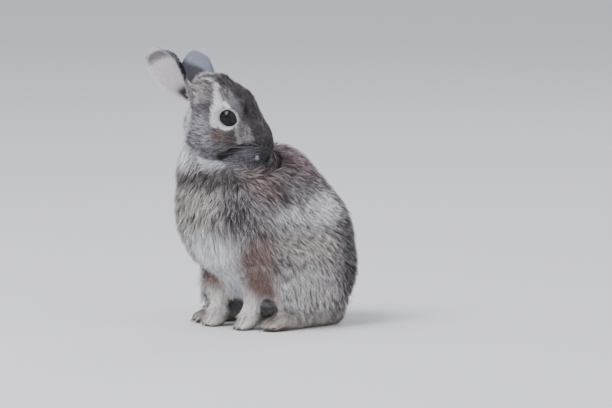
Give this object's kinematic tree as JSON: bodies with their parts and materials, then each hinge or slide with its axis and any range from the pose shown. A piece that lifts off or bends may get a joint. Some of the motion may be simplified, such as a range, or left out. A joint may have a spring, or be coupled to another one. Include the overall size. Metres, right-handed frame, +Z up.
{
  "type": "rabbit",
  "caption": "Life-size still model of a wild cottontail rabbit in grizzled winter fur, sitting upright and looking back over its left shoulder.",
  "frame": {"origin": "on the floor, under the middle of the animal's bounding box", "axes": "+Z up from the soles to the ear tips, the body faces -Y, the rabbit's own left side is +X"},
  "size_m": [0.1244, 0.1894, 0.2298],
  "materials": {
    "fur": "grizzled brown and grey fur, matte",
    "pale_fur": "pale short fur, matte",
    "ear_skin": "thin skin with very short hair",
    "cornea": "wet, glossy, almost black"
  },
  "bodies": {
    "root": {"head": "fur", "neck": "fur", "trunk": "fur", "tail": "pale_fur", "ear_left": "ear_skin", "eye_left": "cornea", "foreleg_left": "fur", "forefoot_left": "pale_fur", "thigh_left": "fur", "hindfoot_left": "pale_fur", "ear_right": "ear_skin", "eye_right": "cornea", "foreleg_right": "fur", "forefoot_right": "pale_fur", "thigh_right": "fur", "hindfoot_right": "pale_fur"}
  },
  "joints": []
}
